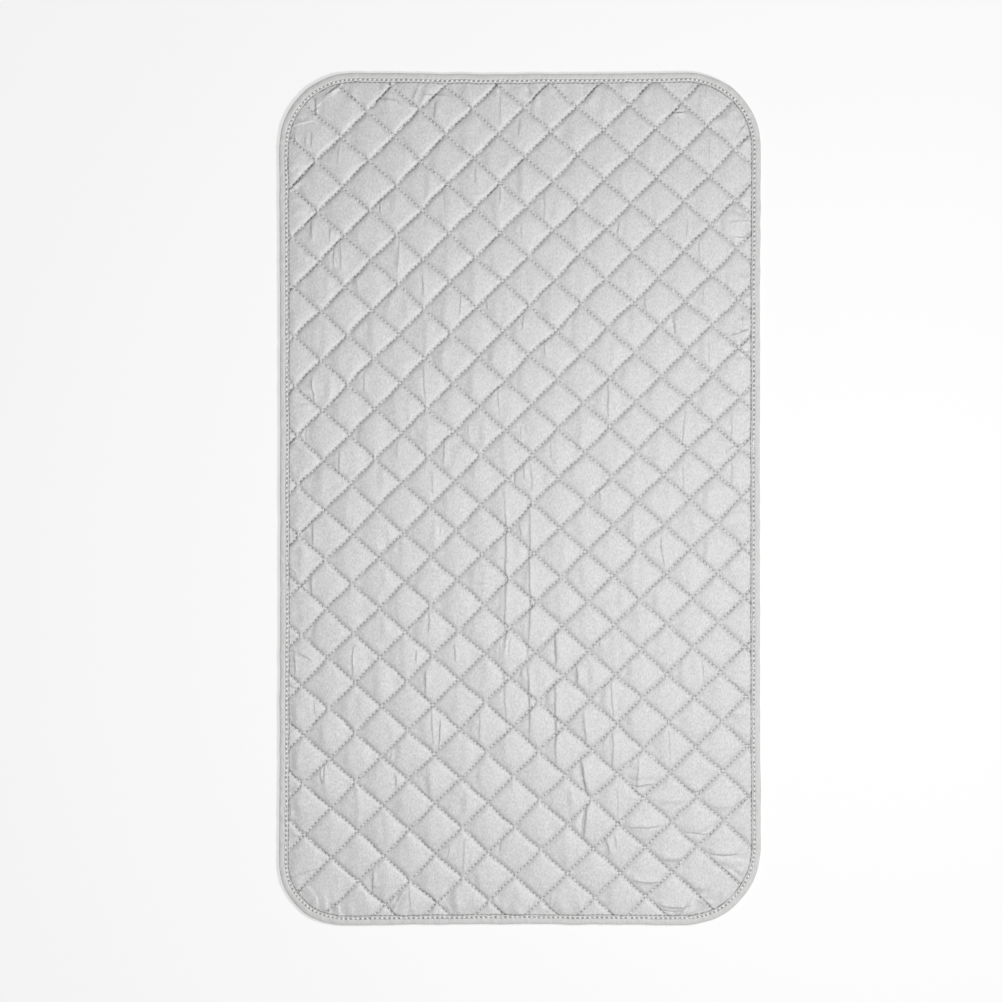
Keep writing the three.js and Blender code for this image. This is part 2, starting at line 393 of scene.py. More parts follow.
# %% A net along the seams
NET_CELLS = 30  # enough to cover the pad from corner to corner
FACE_STEPS = 11
FACE_FINENESS = 0.8
BACK_STEPS = 8
BACK_FINENESS = 0.45
CLOTH_MARGIN = 2 * MM  # the two cloths end this far inside the edge


def graded(count, fineness):
    """Moves the lines of a net, counted in cells, closer to the whole numbers, where the seams are."""
    return count - fineness / (2 * math.pi) * math.sin(2 * math.pi * count)


def seam_net(steps, fineness, margin):
    """A flat net along the seams, that many steps to a cell, cut at a margin inside the edge."""
    bm = bmesh.new()
    bmesh.ops.create_grid(bm, x_segments=NET_CELLS * steps, y_segments=NET_CELLS * steps, size=0.5)
    half = NET_CELLS // 2
    middle_rising = rising_rows[len(rising_rows) // 2]
    middle_falling = falling_rows[len(falling_rows) // 2]
    for v in bm.verts:
        rising = graded((v.co.x + 0.5) * NET_CELLS, fineness) - half
        falling = graded((v.co.y + 0.5) * NET_CELLS, fineness) - half
        v.co.xy = point_at(
            middle_rising + rising * rising_step, middle_falling + falling * falling_step,
        )
    inside = {v: inset(v.co.x, v.co.y) - margin for v in bm.verts}
    beyond = [f for f in bm.faces if all(inside[v] <= 0 for v in f.verts)]
    bmesh.ops.delete(bm, geom=beyond, context="FACES")
    for v in bm.verts:
        if inside[v] < 0:
            v.co.xy += outward(v.co.x, v.co.y) * inside[v]
    return bm


def row_index(distance, rows, step):
    """Which sewn row is nearest to a distance: past the last row, that one."""
    return min(len(rows) - 1, max(0, round((distance - rows[0]) / step)))


def nearest_row(distance, rows, step):
    """How far a distance is from the nearest sewn row."""
    return abs(distance - rows[row_index(distance, rows, step)])


def seam_distance(x, y):
    """How far a point is from the nearest sewn seam."""
    rising, falling = across_seams(x, y)
    return min(
        nearest_row(rising, rising_rows, rising_step),
        nearest_row(falling, falling_rows, falling_step),
    )


face_bm = seam_net(FACE_STEPS, FACE_FINENESS, CLOTH_MARGIN)
print("face net:", len(face_bm.faces), "faces")

# %% [markdown]
# ## The face cloth, simulated
# A quilter lays the cloth slack over the wadding, and each seam pulls it down and in. The simulation
# does the same. The net starts a few per cent too wide, its seams and its rim are pinned, and a shape
# key draws these pins to their places over the first frames. The cloth between them has nowhere to go
# but up, and a light pressure stands for the wadding below. It is looser across the pad than along it,
# which is why the real puckers run up and down. The result is read back, so no Cloth is left. Use has
# flattened the tops of the puffs, which a hyperbolic tangent does to their heights.

# %% Starting shape and pins
SEAM_HEIGHT = 3.2 * MM
CROWN = 3.4 * MM
RIM_RISE = 16 * MM  # a puff needs this far from the tape to reach its full height
UNEVEN = 0.55 * MM
ON_SEAM = 0.05 * MM


def crown(x, y):
    """The puff of the cell that a point is in, from 0 at a seam to 1 at the middle of a whole cell."""
    rising, falling = across_seams(x, y)
    high = 1.0
    families = ((rising, rising_rows, rising_step), (falling, falling_rows, falling_step))
    for distance, rows, step in families:
        away = nearest_row(distance, rows, step) / step
        high *= math.sin(math.pi * min(0.5, away))
    rim = min(1, max(0, inset(x, y) - TAPE_COVER) / RIM_RISE)
    return high * math.sin(math.pi / 2 * rim)


pins = []
face_bm.verts.index_update()
for v in face_bm.verts:
    x, y = v.co.xy
    # More waves to a metre across the pad than along it, as the puckers run up and down.
    broad = noise.noise(Vector((x * 160, y * 50, 3.1)))
    fine = noise.noise(Vector((x * 400, y * 150, 7.7)))
    puff = crown(x, y)
    v.co.z = CROWN * puff + UNEVEN * (broad + 0.5 * fine) * min(1, 3 * puff)
    if seam_distance(x, y) < ON_SEAM or inset(x, y) < TAPE_COVER:
        v.co.z = 0
        pins.append(v.index)
print("pinned:", len(pins), "of", len(face_bm.verts))

# %% Cloth simulation
SLACK_ACROSS = 0.05
SLACK_ALONG = 0.014
DRAW_FRAMES = 6
SETTLE_FRAMES = 14
MOST_MOVE = 7 * MM  # no point may end further than this from its sewn place
IRONED = 1.85 * MM  # before it is creased, no puff stands higher than this above the seams


def sewn_down(bm, pinned):
    """The places of a net's points after its pinned seams have been drawn in."""
    mesh = bpy.data.meshes.new("slack_cloth")
    bm.to_mesh(mesh)
    start = np.array([v.co for v in mesh.vertices])
    mesh.vertices.foreach_set("co", (start * (1 + SLACK_ACROSS, 1 + SLACK_ALONG, 1)).ravel())
    slack = bpy.data.objects.new("slack_cloth", mesh)
    scene.collection.objects.link(slack)
    slack.vertex_groups.new(name="seams").add(pinned, 1.0, "REPLACE")
    slack.shape_key_add(name="cut")
    drawn = slack.shape_key_add(name="sewn")
    drawn.data.foreach_set("co", start.ravel())
    for value, at in ((0, 1), (1, 1 + DRAW_FRAMES)):
        drawn.value = value
        drawn.keyframe_insert("value", frame=at)

    modifier = slack.modifiers.new("Cloth", "CLOTH")
    cloth = modifier.settings
    cloth.mass = 0.002
    cloth.tension_stiffness = cloth.compression_stiffness = 20
    cloth.shear_stiffness = 7
    cloth.bending_stiffness = 0.2
    cloth.use_pressure = True
    cloth.uniform_pressure_force = 60
    cloth.vertex_group_mass = "seams"
    cloth.effector_weights.gravity = 0
    modifier.collision_settings.use_collision = False
    modifier.point_cache.frame_end = SETTLE_FRAMES
    for at in range(1, SETTLE_FRAMES + 1):
        scene.frame_set(at)
    result = slack.evaluated_get(bpy.context.evaluated_depsgraph_get()).data
    end = np.array([v.co for v in result.vertices])

    action = mesh.shape_keys.animation_data.action
    bpy.data.objects.remove(slack)
    bpy.data.meshes.remove(mesh)
    bpy.data.actions.remove(action)
    scene.frame_set(1)
    return start + np.clip(end - start, -MOST_MOVE, MOST_MOVE)


for v, place in zip(face_bm.verts, sewn_down(face_bm, pins)):
    v.co = place
for v in face_bm.verts:
    v.co.z = IRONED * math.tanh(v.co.z / IRONED)
heights = [v.co.z / MM for v in face_bm.verts]
print("puffs from", round(min(heights), 2), "to", round(max(heights), 2), "mm above the seams")

# %% [markdown]
# ## Creases
# The coating makes the cotton crisp, so its slack also gathers into thin creases. Most run up and down
# from one seam to the next. A few long ones cross many cells, where the pad has been folded. A crease
# is thinner than the squares of the net, so the net is first made finer beside each one, and then
# pressed by a formula: a steep wall on the left, and a slow fall to the right.

# %% Where the creases are
BAND_ODDS = (0.15, 0.42, 0.31, 0.12)  # the share of cells with no pucker, one, two or three
SHARP_SHARE = 0.22  # the share of puckers that are sharp creases: the others are soft bands
SHARP_WIDTH = 1.2 * MM
CELL_MARGIN = 18 * MM  # cells with their middle closer to the edge than this have no puckers
LEVEL_FROM = (0.1, -0.25)  # right of and below this point, the puckers lie level
EDGE_PUCKERS = 150
CREASE_REACH = 6  # a crease changes nothing further off than this many of its widths


def crease(start, end, depth, width, bow=0.0):
    """A crease from one point to another, that deep and wide, with its middle bowed to one side."""
    return {"start": Vector(start), "end": Vector(end), "depth": depth, "width": width, "bow": bow}


def fold(x, top, bottom, depth, lean=0.0):
    """A crease down the pad, where it lay folded: the deeper, the wider."""
    return crease((x, top), (x + lean, bottom), depth, 0.9 * MM + 0.35 * depth, 0.6 * MM)


FOLDS = [
    fold(-0.016, 0.012, -0.160, 1.3 * MM, 0.001),
    fold(-0.015, -0.170, -0.240, 0.8 * MM),
    fold(-0.041, -0.212, -0.246, 0.8 * MM),
    fold(-0.006, 0.030, 0.012, 1.1 * MM),
    fold(0.009, -0.006, -0.158, 1.3 * MM),
    fold(0.008, -0.166, -0.242, 1.6 * MM, 0.001),
    fold(0.034, -0.130, -0.168, 1.3 * MM, 0.002),
    fold(0.034, -0.180, -0.268, 1.7 * MM, 0.002),
    fold(0.056, -0.164, -0.186, 1.3 * MM),
    fold(0.063, -0.211, -0.247, 1.2 * MM, 0.002),
    fold(0.061, -0.260, -0.296, 3.2 * MM, 0.005),
    fold(0.066, -0.303, -0.340, 2.8 * MM, -0.003),
    fold(0.084, -0.337, -0.357, 1.2 * MM, 0.005),
    fold(0.091, -0.231, -0.268, 1.6 * MM, 0.001),
    fold(0.118, -0.259, -0.296, 1.2 * MM, -0.001),
    fold(-0.204, 0.399, 0.381, 1.3 * MM, 0.001),
    fold(-0.208, 0.3665, 0.349, 1.0 * MM),
    fold(-0.214, 0.3635, 0.349, 0.7 * MM),
    fold(-0.225, 0.3635, 0.350, 1.2 * MM),
]
# Near the tape of the top side the cloth was pushed together the other way.
TOP_CREASES = [
    crease((-0.178, 0.4143), (-0.1944, 0.403), 1.6 * MM, 1.2 * MM, 1.5 * MM),
    crease((-0.1205, 0.398), (-0.1414, 0.3985), 0.9 * MM, 1.4 * MM),
    crease((-0.0717, 0.4034), (-0.0966, 0.4034), 0.9 * MM, 1.4 * MM),
    crease((0.1673, 0.3874), (0.1494, 0.388), 1.4 * MM, 0.8 * MM, 1.5 * MM),
]


def crease_width(chance):
    """The width of a small crease: some are sharp, and the others are soft bands."""
    sharp = chance.random() < SHARP_SHARE
    return (chance.uniform(0.6, 1.0) if sharp else chance.uniform(1.5, 2.4)) * MM


def puckers():
    """Creases and soft bands inside the cells, the same every time: level ones at the lower right."""
    chance = random.Random(11)
    found = []
    tall = (rising_step + falling_step) / (2 * math.sqrt(2))
    for rising in rising_rows:
        for falling in falling_rows:
            x, y = point_at(rising + rising_step / 2, falling + falling_step / 2)
            if inset(x, y) < CELL_MARGIN:
                continue
            level = x > LEVEL_FROM[0] and y < LEVEL_FROM[1]
            for _ in range(chance.choices(range(4), BAND_ODDS)[0] + level):
                side = chance.triangular(-0.7, 0.6, -0.4) * tall
                reach = (tall - abs(side)) * 0.98
                first = reach * chance.uniform(0.4, 1)
                last = max(first - reach * chance.uniform(0.8, 1.9), -reach)
                lean = chance.uniform(-2, 2) * MM
                bow = chance.uniform(-1, 1) * MM
                ends = ((side, first), (side + lean, last))
                if level:
                    low = -tall * chance.uniform(0.1, 0.75)
                    reach = (tall + low) * chance.uniform(0.7, 1)
                    ends = ((-reach, low), (reach, low + lean))
                    bow = -chance.uniform(0.08, 0.2) * reach
                first, last = (Vector((x, y)) + Vector(end) for end in ends)
                depth = chance.uniform(0.5, 1.1) * (1.4 if level else 1)
                found.append(crease(first, last, depth * MM, crease_width(chance), bow))
    return found


def edge_puckers():
    """Short creases that run in from the tape, where it was sewn on a little too tight."""
    chance = random.Random(23)
    found = []
    for edge, out, _ in chance.sample(edge_path(4 * MM), EDGE_PUCKERS):
        start = edge - out * TAPE_COVER
        swing = Matrix.Rotation(chance.uniform(-0.7, 0.7), 2)
        found.append(crease(
            start, start - swing @ out * chance.uniform(9, 30) * MM,
            chance.uniform(0.6, 1.4) * MM, crease_width(chance), chance.uniform(-2, 2) * MM,
        ))
    return found


small_creases = puckers() + edge_puckers()
creases = FOLDS + TOP_CREASES + small_creases
sharp_creases = FOLDS + TOP_CREASES
sharp_creases += [line for line in small_creases if line["width"] < SHARP_WIDTH]
print("creases:", len(creases), "of them sharp:", len(sharp_creases))

# %% Pressing the creases
NEAR_SHARE = 0.45  # a square is halved if its middle is this close to a crease, in squares
SMOOTH_ROUNDS = 4
LOOSE_FROM = 0.3 * MM  # points further from a seam than this may move
HELD_BY_SEAM = 2.2 * MM  # closer to a seam than this, the stitches hold the cloth down


def across_crease(line, points):
    """For points near a crease: which they are, how far across it, and how far along it from 0 to 1."""
    run = line["end"] - line["start"]
    way = run.normalized()
    offset = points[:, :2] - np.array(line["start"])
    along = offset @ np.array(way) / run.length
    bowed = line["bow"] * (1 - (2 * along - 1) ** 2)
    side = offset @ np.array((-way.y, way.x)) - bowed
    near = np.nonzero((along > 0) & (along < 1) & (abs(side) < CREASE_REACH * line["width"]))[0]
    return near, side[near], along[near]


def refine_beside(bm, lines, reach):
    """Halves the squares within reach of some creases, and rounds them to the puff again."""
    bm.faces.ensure_lookup_table()
    middles = np.array([f.calc_center_median() for f in bm.faces])
    edges = {}  # a dictionary keeps its order, so every run cuts the same way
    for line in lines:
        near, side, _ = across_crease(line, middles)
        for index in near[abs(side) < reach]:
            edges.update(dict.fromkeys(bm.faces[index].edges))
    cut = bmesh.ops.subdivide_edges(bm, edges=list(edges), cuts=1, use_grid_fill=True)
    fresh = [e for e in cut["geom_inner"] if isinstance(e, bmesh.types.BMVert)]
    loose = [v for v in fresh if seam_distance(v.co.x, v.co.y) > LOOSE_FROM]
    for _ in range(SMOOTH_ROUNDS):
        bmesh.ops.smooth_vert(bm, verts=loose, factor=0.5, use_axis_z=True)


def pressed(side):
    """The height across a crease, in its own widths: a steep wall, then a slow fall to the right."""
    wall = 1 / (1 + np.exp(-4 * side))
    fall = np.exp(-((np.maximum(side, 0) / 2.6) ** 2))
    foot = np.exp(-((side + 1.2) ** 2))
    return 1.2 * wall * fall - 0.35 * foot


def press_creases(bm):
    """Presses every crease into the cloth, fading out at its ends and at the seams."""
    points = np.array([v.co for v in bm.verts])
    held = np.array([min(1, seam_distance(x, y) / HELD_BY_SEAM) for x, y, _ in points])
    change = np.zeros(len(points))
    for line in creases:
        near, side, along = across_crease(line, points)
        fade = np.sqrt(np.sin(math.pi * along)) * held[near]
        change[near] += line["depth"] * fade * pressed(side / line["width"])
    for v, rise in zip(bm.verts, change):
        v.co.z += rise


largest_square = (1 + FACE_FINENESS) * rising_step / FACE_STEPS
refine_beside(face_bm, creases, NEAR_SHARE * largest_square)
for halving in (2, 4):
    refine_beside(face_bm, sharp_creases, NEAR_SHARE * largest_square / halving)
press_creases(face_bm)
print("face net with creases:", len(face_bm.faces), "faces")

# %% [markdown]
# ## Seam lines, and the face as a piece
# Each seam sinks into the cloth, so the puffs close over it and it shows as a thin dark line. That
# is a narrow dip along the pinned edges of the net. At some crossings the loose cloth of the cells above
# and below meets in a small upright neck that hides the stitches. The needle holes and the shade down in
# each seam are too small for the net, so the material paints that shade into the cloth's colour there.
# Then the cloth is shifted to its sewn place, and it becomes an object that stands for the CAD face.

# %% Painted seam shade
# The colour of the painted shade in the seams and needle holes, and how wide and uneven its rows are.
SEAM_SHADE_COLOUR = (0.2, 0.2, 0.2)
SEAM_SHADE_HALF = 1.15 * MM  # half the width of a row of marks
SEAM_SHADE_EDGE = 0.75 * MM  # how far from the seam the marks start to fade
SEAM_SHADE_RIPPLE = 0.4  # marks are lighter by this share beside a stitch, and darker between two


def add_painted_seam_shade(material, seams, shown=""):
    """Paints shade into a cloth's colour beside its stitches, and most between them, at the needle holes.

    Each seam family is the attribute across it, the attribute along it, its rows, its stitch length and
    how dark it is."""
    nodes = material.node_tree.nodes
    join = material.node_tree.links.new

    def worked(operation, first, second=0.0):
        node = nodes.new("ShaderNodeMath")
        node.operation = operation
        for socket, value in zip(node.inputs, (first, second)):
            if isinstance(value, bpy.types.NodeSocket):
                join(value, socket)
            else:
                socket.default_value = value
        return node.outputs["Value"]

    def attribute(name):
        node = nodes.new("ShaderNodeAttribute")
        node.attribute_name = name
        return node.outputs["Fac"]

    # One family of rows of painted seam shade: how much each point is darkened.
    def marks(across, along, rows, pitch, strength):
        step = (rows[-1] - rows[0]) / max(1, len(rows) - 1) or 1.0  # a lone row has no step
        row = worked("ROUND", worked("DIVIDE", worked("SUBTRACT", attribute(across), rows[0]), step))
        row = worked("MINIMUM", worked("MAXIMUM", row, 0), len(rows) - 1)
        seam = worked("ADD", worked("MULTIPLY", row, step), rows[0])
        away = worked("ABSOLUTE", worked("SUBTRACT", attribute(across), seam))
        line = worked("DIVIDE", worked("SUBTRACT", SEAM_SHADE_HALF, away), SEAM_SHADE_HALF - SEAM_SHADE_EDGE)
        line = worked("MINIMUM", worked("MAXIMUM", line, 0), 1)
        turn = worked("COSINE", worked("MULTIPLY", attribute(along), 2 * math.pi / pitch))
        gap = worked("SUBTRACT", strength, worked("MULTIPLY", turn, SEAM_SHADE_RIPPLE * strength))
        return worked("MULTIPLY", line, gap)

    # mark is the painted shade of all the seam families together.
    mark = 0.0
    for seam in seams:
        mark = worked("MAXIMUM", mark, marks(*seam))
    if shown:
        mark = worked("MULTIPLY", mark, attribute(shown))
    shader = nodes["Principled BSDF"]
    plain = shader.inputs["Base Color"].links[0].from_socket
    # The painted seam shade is mixed into the cloth's base colour.
    blend = nodes.new("ShaderNodeMix")
    blend.data_type = "RGBA"
    join(mark, blend.inputs["Factor"])
    join(plain, blend.inputs["A"])
    blend.inputs["B"].default_value = (*SEAM_SHADE_COLOUR, 1)
    join(blend.outputs["Result"], shader.inputs["Base Color"])


# A row of needle marks is a row of painted shade.
print("a row of needle marks is", round(2 * SEAM_SHADE_HALF / MM, 1), "mm wide")

# %% Necks
NECK_ODDS = (0.66, 0.34)  # the share of crossings without a neck and with one
NECK_HALF = (1.3 * MM, 4 * MM)  # half its width and half its length
neck_chance = random.Random(31)
necks = {
    (i, j): neck_chance.choices((0, neck_chance.uniform(0.6, 1)), NECK_ODDS)[0]
    for i in range(len(rising_rows))
    for j in range(len(falling_rows))
}


def neck(x, y):
    """How much the cloth bridges the nearest crossing at a point: 0 where it is sewn down, to 1."""
    rising, falling = across_seams(x, y)
    i = row_index(rising, rising_rows, rising_step)
    j = row_index(falling, falling_rows, falling_step)
    crossing_x, crossing_y = point_at(rising_rows[i], falling_rows[j])
    across = (x - crossing_x) / NECK_HALF[0]
    along = (y - crossing_y) / NECK_HALF[1]
    return necks[i, j] * math.exp(-(across**2) - along**4)


print("necks:", sum(1 for strength in necks.values() if strength), "of", len(necks), "crossings")

# %% Finishing the face
STITCH_PITCH = 4.4 * MM
SEAM_DIP = 1.8 * MM
DIP_WIDTH = 0.95 * MM
NECK_RISE = 0.6 * MM
SEAM_END = TAPE_COVER - 1 * MM  # the seams run on a little way under the tape


def add_piece(name, bm, finish, nodes=(), shut=False):
    """Turns a bmesh into a smooth object of the pad that stands for the named CAD nodes.

    A shut one is a closed body, so its faces are turned outward."""
    if shut:
        bmesh.ops.recalc_face_normals(bm, faces=bm.faces)
    mesh = bpy.data.meshes.new(name)
    bm.to_mesh(mesh)
    bm.free()
    mesh.materials.append(finish)
    mesh.shade_smooth()
    piece = bpy.data.objects.new(name, mesh)
    scene.collection.objects.link(piece)
    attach(piece, "root")
    if nodes:
        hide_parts(*nodes)
    mesh.calc_loop_triangles()
    print(name, len(mesh.loop_triangles), "triangles")
    return piece


def settle(bm):
    """Shifts every point of a flat bmesh to where sewing leaves it."""
    for v in bm.verts:
        v.co.xy = settled(v.co.x, v.co.y)


def note_seams(bm):
    """Keeps each point's distance across the seams, which the painted seam shade is placed by."""
    rising_layer = bm.verts.layers.float.new("across_rising")
    falling_layer = bm.verts.layers.float.new("across_falling")
    for v in bm.verts:
        v[rising_layer], v[falling_layer] = across_seams(v.co.x, v.co.y)


# Painted shade along both families of quilting seams, darker between the stitches: how dark each is.
QUILTING_SEAM_SHADE = [
    ("across_rising", "across_falling", rising_rows, STITCH_PITCH, 0.42),
    ("across_falling", "across_rising", falling_rows, STITCH_PITCH, 0.38),
]
# The shade where the face goes under the tape, uneven like the gaps between stitches.
TAPE_SHADOW = ("from_edge", "across_rising", [TAPE_COVER + 0.4 * MM], 3.4 * MM, 0.6)

note_seams(face_bm)
edge_layer = face_bm.verts.layers.float.new("from_edge")
sewn_layer = face_bm.verts.layers.float.new("sewn")
for v in face_bm.verts:
    x, y = v.co.xy
    bridge = neck(x, y)
    v[edge_layer] = inset(x, y)
    v[sewn_layer] = 1 - bridge
    v.co.z += SEAM_HEIGHT
    if inset(x, y) > SEAM_END:
        v.co.z += NECK_RISE * bridge
        v.co.z -= SEAM_DIP * (1 - bridge) * math.exp(-((seam_distance(x, y) / DIP_WIDTH) ** 4))
settle(face_bm)
# Paints shade into the face along its seams and beside the tape, except where a neck covers the stitches.
add_painted_seam_shade(face_finish, [*QUILTING_SEAM_SHADE, TAPE_SHADOW], shown="sewn")
face_shape = BVHTree.FromBMesh(face_bm)
face = add_piece("face", face_bm, face_finish, ["face_cloth"])

# %% [markdown]
# ## Quilting stitches
# A lockstitch shows as a row of short grains of thread, each diving into a needle hole at both ends.
# One grain is a stretched ball with few faces, because there are thousands of them. The same rows show
# on the underside, where the bobbin thread lies.

# %% Stitch rows
STITCH_HALF = Vector((0.45, 0.7, 1.6)) * MM  # half its height, width and length
STITCH_ENDS = (-1.5 * MM, 1.5 * MM)  # where a stitch dives in, along the seam from its middle
STITCH_HEIGHT = SEAM_HEIGHT - SEAM_DIP + 0.35 * MM
BACK_SEAM = 1.0 * MM
BOBBIN_HEIGHT = BACK_SEAM - 0.25 * MM

grain_bm = bmesh.new()
bmesh.ops.create_uvsphere(grain_bm, u_segments=6, v_segments=4, radius=1)
bmesh.ops.scale(grain_bm, vec=STITCH_HALF, verts=grain_bm.verts)
bmesh.ops.rotate(grain_bm, matrix=Matrix.Rotation(math.pi / 2, 3, "Y"), verts=grain_bm.verts)
grain_mesh = bpy.data.meshes.new("stitch_grain")
grain_bm.to_mesh(grain_mesh)
grain_bm.free()


def stitch_grain(bm, middle, heading, height, length=1.0, thickness=1.0):
    """Adds one stitch, turned along its seam, to a bmesh."""
    place = (
        Matrix.Translation((*middle, height))
        @ Matrix.Rotation(heading, 4, "Z")
        @ Matrix.Diagonal((length, thickness, thickness, 1))
    )
    grain_mesh.transform(place)
    bm.from_mesh(grain_mesh)
    grain_mesh.transform(place.inverted())


def seam_stitches(rows, family, height, seed, hidden=0.45):
    """All stitches of one family of seams, at one height, but for those that a neck covers.

    A neck covers a stitch where it is stronger than hidden."""
    chance = random.Random(seed)
    bm = bmesh.new()
    most = round((HALF_WIDTH + HALF_LENGTH) / STITCH_PITCH)
    for row in rows:
        for count in range(-most, most):
            along = count * STITCH_PITCH
            ends = []
            for end in STITCH_ENDS:
                pair = (row, along + end) if family == "rising" else (along + end, row)
                ends.append(point_at(*pair))
            if min(inset(*end) for end in ends) < SEAM_END:
                continue
            if max(neck(*end) for end in ends) > hidden:
                continue
            first, last = (settled(*end) for end in ends)
            way = last - first
            heading = math.atan2(way.y, way.x) + chance.uniform(-0.09, 0.09)
            stitch_grain(bm, (first + last) / 2, heading, height, chance.uniform(0.88, 1.08))
    return bm


rising_stitches = add_piece(
    "quilting_stitches_rising", seam_stitches(rising_rows, "rising", STITCH_HEIGHT, 1),
    thread_finish, seam_nodes("rising"),
)
falling_stitches = add_piece(
    "quilting_stitches_falling", seam_stitches(falling_rows, "falling", STITCH_HEIGHT, 2),
    thread_finish, seam_nodes("falling"),
)
bobbin_rising = add_piece(
    "bobbin_stitches_rising", seam_stitches(rising_rows, "rising", BOBBIN_HEIGHT, 3, hidden=1),
    thread_finish,
)
bobbin_falling = add_piece(
    "bobbin_stitches_falling", seam_stitches(falling_rows, "falling", BOBBIN_HEIGHT, 4, hidden=1),
    thread_finish,
)

# %% [markdown]
# ## Backing cloth
# The underside is a plain cloth that the same seams go through. The pad lies on it, so its puffs are
# flat: a net along the seams, pushed down between them by less than a millimetre.

# %% Backing
BACK_PUFF = 0.85 * MM
BACK_FLATNESS = 2.6  # how much sooner than the face's puffs these reach their full depth

backing_bm = seam_net(BACK_STEPS, BACK_FINENESS, CLOTH_MARGIN)
for v in backing_bm.verts:
    x, y = v.co.xy
    v.co.z = BACK_SEAM - BACK_PUFF * min(1, BACK_FLATNESS * crown(x, y))
note_seams(backing_bm)
settle(backing_bm)
# The backing gets the same painted shade along its seams.
add_painted_seam_shade(backing_finish, QUILTING_SEAM_SHADE)
bmesh.ops.reverse_faces(backing_bm, faces=backing_bm.faces)
backing = add_piece("backing", backing_bm, backing_finish, ["backing_cloth"])

# %% [markdown]
# ## Wadding
# The lofted layer fills the space between the two cloths. It can't be seen on a whole pad, but it is a
# real piece, so it is a closed body: a net whose upper side is found by looking straight down on the
# face and staying a little under it. Over each corner magnet its underside has a hollow.

# %% Wadding
WADDING_MARGIN = 9.5 * MM
CLOTH_ROOM = 1.7 * MM  # how far the wadding stays under the face
WADDING_FLOOR = 1.1 * MM
THINNEST = 0.15 * MM
MAGNET_ROOM = 4 * MM
CLEARANCE = 0.3 * MM
LOOK_FROM = 100 * MM

magnets = sorted(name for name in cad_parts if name.startswith("corner_magnet"))
magnet_boxes = [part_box(name) for name in magnets]


def wadding_floor(x, y):
    """The height of the wadding's underside: it is hollow over the magnets."""
    for low, high in magnet_boxes:
        middle = (low + high) / 2
        if math.hypot(x - middle.x, y - middle.y) < high.x - middle.x + MAGNET_ROOM:
            return high.z + CLEARANCE
    return WADDING_FLOOR


wadding_bm = seam_net(BACK_STEPS, BACK_FINENESS, WADDING_MARGIN)
settle(wadding_bm)
base = bmesh.ops.extrude_face_region(wadding_bm, geom=list(wadding_bm.faces), use_keep_orig=True)
upper = {e for e in base["geom"] if isinstance(e, bmesh.types.BMVert)}
for v in wadding_bm.verts:
    v.co.z = wadding_floor(v.co.x, v.co.y)
    if v in upper:
        hit = face_shape.ray_cast(Vector((v.co.x, v.co.y, LOOK_FROM)), Vector((0, 0, -1)))[0]
        v.co.z = max(v.co.z + THINNEST, hit.z - CLOTH_ROOM)
wadding = add_piece("wadding_layer", wadding_bm, wadding_finish, ["wadding"], shut=True)

# %% [markdown]
# ## Edge binding
# The binding is one long tape, folded lengthwise over the raw edge with its own edges turned under, and
# sewn through near its inner edge. A long net is wrapped round the outline: its length follows the edge
# and its width follows the folded section. The sewing dents the tape at each needle hole, its top is a
# little uneven, and at the round corners its inner side has too much cloth and lies in small pleats.

# %% Folded tape
TAPE_STEP = 1.6 * MM
STEPS_TO_A_STITCH = 3
tape_path = edge_path(TAPE_STEP)
print("edge length in mm:", round(len(tape_path) * TAPE_STEP / MM))

# The section from the lower hem, round the pad's edge, to the upper hem: inset and height in mm.
TAPE_SECTION = [
    (6.6, 0.85), (7.8, 0.85), (8.4, 0.7), (8.5, 0.45), (8.1, 0.25), (6.6, 0.55), (5.2, 0.12), (3.2, 0.05),
    (1.6, 0.25), (0.6, 0.8), (0.1, 1.7), (0.0, 2.7), (0.02, 3.6), (0.15, 4.1), (0.5, 4.4), (1.8, 4.6),
    (4.2, 4.6), (5.4, 4.35), (6.0, 3.8), (6.6, 3.6), (7.2, 3.85), (7.8, 4.1), (8.5, 3.95), (8.7, 3.65),
    (8.3, 3.4), (6.8, 3.35),
]
TAPE_STITCH_INSET = 6.5 * MM
TAPE_STITCH_PITCH = STEPS_TO_A_STITCH * TAPE_STEP
OVERLAP = 11 * MM
DENT = 0.4 * MM
TAPE_UNEVEN = 0.6 * MM
PLEAT = 2.0 * MM
HEM_WAVER = 0.45 * MM
LAP = 0.45 * MM  # the step where one end of the tape lies over the other


def tape_relief(run, depth, turn):
    """How much the top of the tape rises at a distance along it and at an inset."""
    sewn = math.exp(-(((depth - TAPE_STITCH_INSET) / (1.6 * MM)) ** 2))
    dents = -DENT * sewn * (0.5 - 0.5 * math.cos(2 * math.pi * run / TAPE_STITCH_PITCH))
    soft = noise.noise(Vector((run * 160, depth * 250, 5.3))) * TAPE_UNEVEN
    gathered = abs(noise.noise(Vector((run * 110, depth * 60, 1.7))))
    pleats = gathered * PLEAT * turn * min(1, depth / (5 * MM))
    lap = LAP if 0 < run - 0.6 * depth < OVERLAP else 0.0
    return dents + soft + pleats + lap


def wrapped_tape(path, section):
    """The tape as a net wrapped round the edge."""
    bm = bmesh.new()
    across_layer = bm.verts.layers.float.new("across_row")
    along_layer = bm.verts.layers.float.new("along_row")
    bmesh.ops.create_grid(bm, x_segments=len(path), y_segments=len(section) - 1, size=0.5)
    for v in bm.verts:
        column = round((v.co.x + 0.5) * len(path)) % len(path)
        depth, height = (c * MM for c in section[round((v.co.y + 0.5) * (len(section) - 1))])
        edge, out, turn = path[column]
        run = column * TAPE_STEP
        v[across_layer] = depth - TAPE_STITCH_INSET
        v[along_layer] = run
        top = min(1, max(0, height - 2 * MM) / (1.5 * MM))  # the underside has no relief
        depth += noise.noise(Vector((run * 45, depth * 90, 0))) * HEM_WAVER
        place = settled(*(edge - out * depth))
        v.co = (*place, height + top * tape_relief(run, depth, turn))
    bmesh.ops.remove_doubles(bm, verts=bm.verts, dist=0.01 * MM)
    return bm


